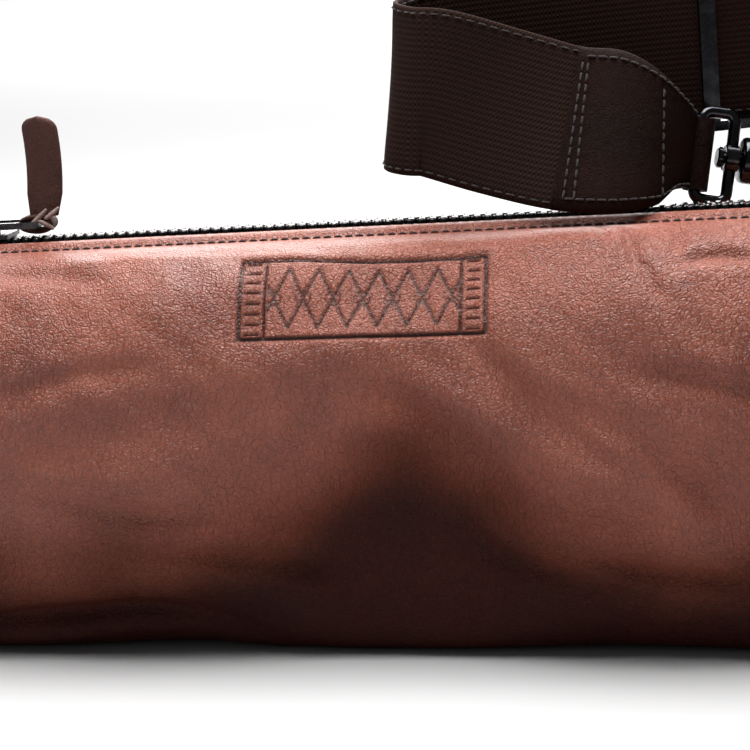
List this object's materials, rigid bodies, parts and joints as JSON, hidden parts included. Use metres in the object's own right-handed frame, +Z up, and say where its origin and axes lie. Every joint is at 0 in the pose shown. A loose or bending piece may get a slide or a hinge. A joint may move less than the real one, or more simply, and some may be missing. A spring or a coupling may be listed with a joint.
{
  "type": "cue case",
  "caption": "Soft brown leather cue case with a full-length top zip, leather puller and a webbing shoulder strap on two swivel hooks.",
  "frame": {"origin": "middle of the flat base the case lies on", "axes": "+X along the case, from the closed slider's end to the other end; -Y towards the front; +Z up"},
  "size_m": [0.82, 0.1042, 0.2027],
  "materials": {
    "case_leather": "satin",
    "strap_leather": "satin",
    "puller_leather": "matte",
    "webbing": "matte",
    "zip_tape": "matte",
    "zip_metal": "satin",
    "hook_metal": "satin",
    "foam": "matte",
    "lining": "matte"
  },
  "bodies": {
    "case": {"front_panel": "case_leather", "back_panel": "case_leather", "base_panel": "case_leather", "left_end_panel": "case_leather", "right_end_panel": "case_leather", "zip_end_tab_left": "case_leather", "zip_end_tab_right": "case_leather", "d_ring_tab_a": "case_leather", "d_ring_tab_b": "case_leather", "padding_front": "foam", "padding_base": "foam", "padding_back": "foam", "end_pad_left": "foam", "end_pad_right": "foam", "lining": "lining", "cue_divider": "lining", "zip_tape_front": "zip_tape", "zip_tape_back": "zip_tape", "zip_teeth_front": "zip_metal", "zip_teeth_back": "zip_metal", "zip_top_stop": "zip_metal", "zip_bottom_stop": "zip_metal", "tab_rivet_a": "hook_metal", "hook_loop_a": "hook_metal", "strap_tab_a": "strap_leather", "tab_rivet_b": "hook_metal", "hook_loop_b": "hook_metal", "strap_tab_b": "strap_leather", "strap_webbing": "webbing"},
    "slider": {"slider_body": "zip_metal"},
    "pull": {"pull_tab": "zip_metal"},
    "puller": {"leather_puller": "puller_leather"},
    "adjuster": {"strap_adjuster": "hook_metal"},
    "ring_a": {"d_ring_a": "hook_metal"},
    "hook_a": {"hook_body_a": "hook_metal"},
    "gate_a": {"hook_gate_a": "hook_metal"},
    "ring_b": {"d_ring_b": "hook_metal"},
    "hook_b": {"hook_body_b": "hook_metal"},
    "gate_b": {"hook_gate_b": "hook_metal"}
  },
  "joints": [
    {"name": "zip_slide", "type": "slide", "parent": "case", "child": "slider", "axis": [0.9996, 0, 0.028], "range_m": [0, 0.749], "deforming": ["zip_teeth_front", "zip_teeth_back", "strap_webbing", "strap_tab_a"]},
    {"name": "pull_tab_hinge", "type": "hinge", "parent": "slider", "child": "pull", "pos_m": [-0.37314, 0, 0.12605], "axis": [0, -1, 0], "range_deg": [0, 80]},
    {"name": "puller_hinge", "type": "hinge", "parent": "pull", "child": "puller", "pos_m": [-0.35735, 0, 0.1265], "axis": [0, -1, 0], "range_deg": [-12, 12]},
    {"name": "d_ring_pivot_a", "type": "hinge", "parent": "case", "child": "ring_a", "pos_m": [-0.0839, 0.02354, 0.12635], "axis": [0.0165, 0.8068, -0.5906], "range_deg": [-2, 2]},
    {"name": "hook_swivel_a", "type": "hinge", "parent": "case", "child": "hook_a", "pos_m": [-0.14747, 0.01935, 0.13865], "axis": [-0.973, -0.1502, 0.1752], "range_deg": [-8, 8]},
    {"name": "hook_gate_a", "type": "hinge", "parent": "hook_a", "child": "gate_a", "pos_m": [-0.12, 0.02627, 0.13732], "axis": [0.2252, -0.7829, 0.5799], "range_deg": [0, 20], "stiffness_Nm_per_rad": 0.15, "springref_deg": -11.46},
    {"name": "d_ring_pivot_b", "type": "hinge", "parent": "case", "child": "ring_b", "pos_m": [0.3681, 0.02354, 0.13839], "axis": [0.0165, 0.8068, -0.5906], "range_deg": [-2, 2]},
    {"name": "hook_swivel_b", "type": "hinge", "parent": "case", "child": "hook_b", "pos_m": [0.30453, 0.01935, 0.15069], "axis": [-0.973, -0.1502, 0.1752], "range_deg": [-8, 8]},
    {"name": "hook_gate_b", "type": "hinge", "parent": "hook_b", "child": "gate_b", "pos_m": [0.332, 0.02627, 0.14936], "axis": [0.2252, -0.7829, 0.5799], "range_deg": [0, 20], "stiffness_Nm_per_rad": 0.15, "springref_deg": -11.46},
    {"name": "adjuster_slide", "type": "slide", "parent": "case", "child": "adjuster", "axis": [0.9689, 0.2422, 0.0513], "range_m": [-0.006, 0.006]}
  ]
}
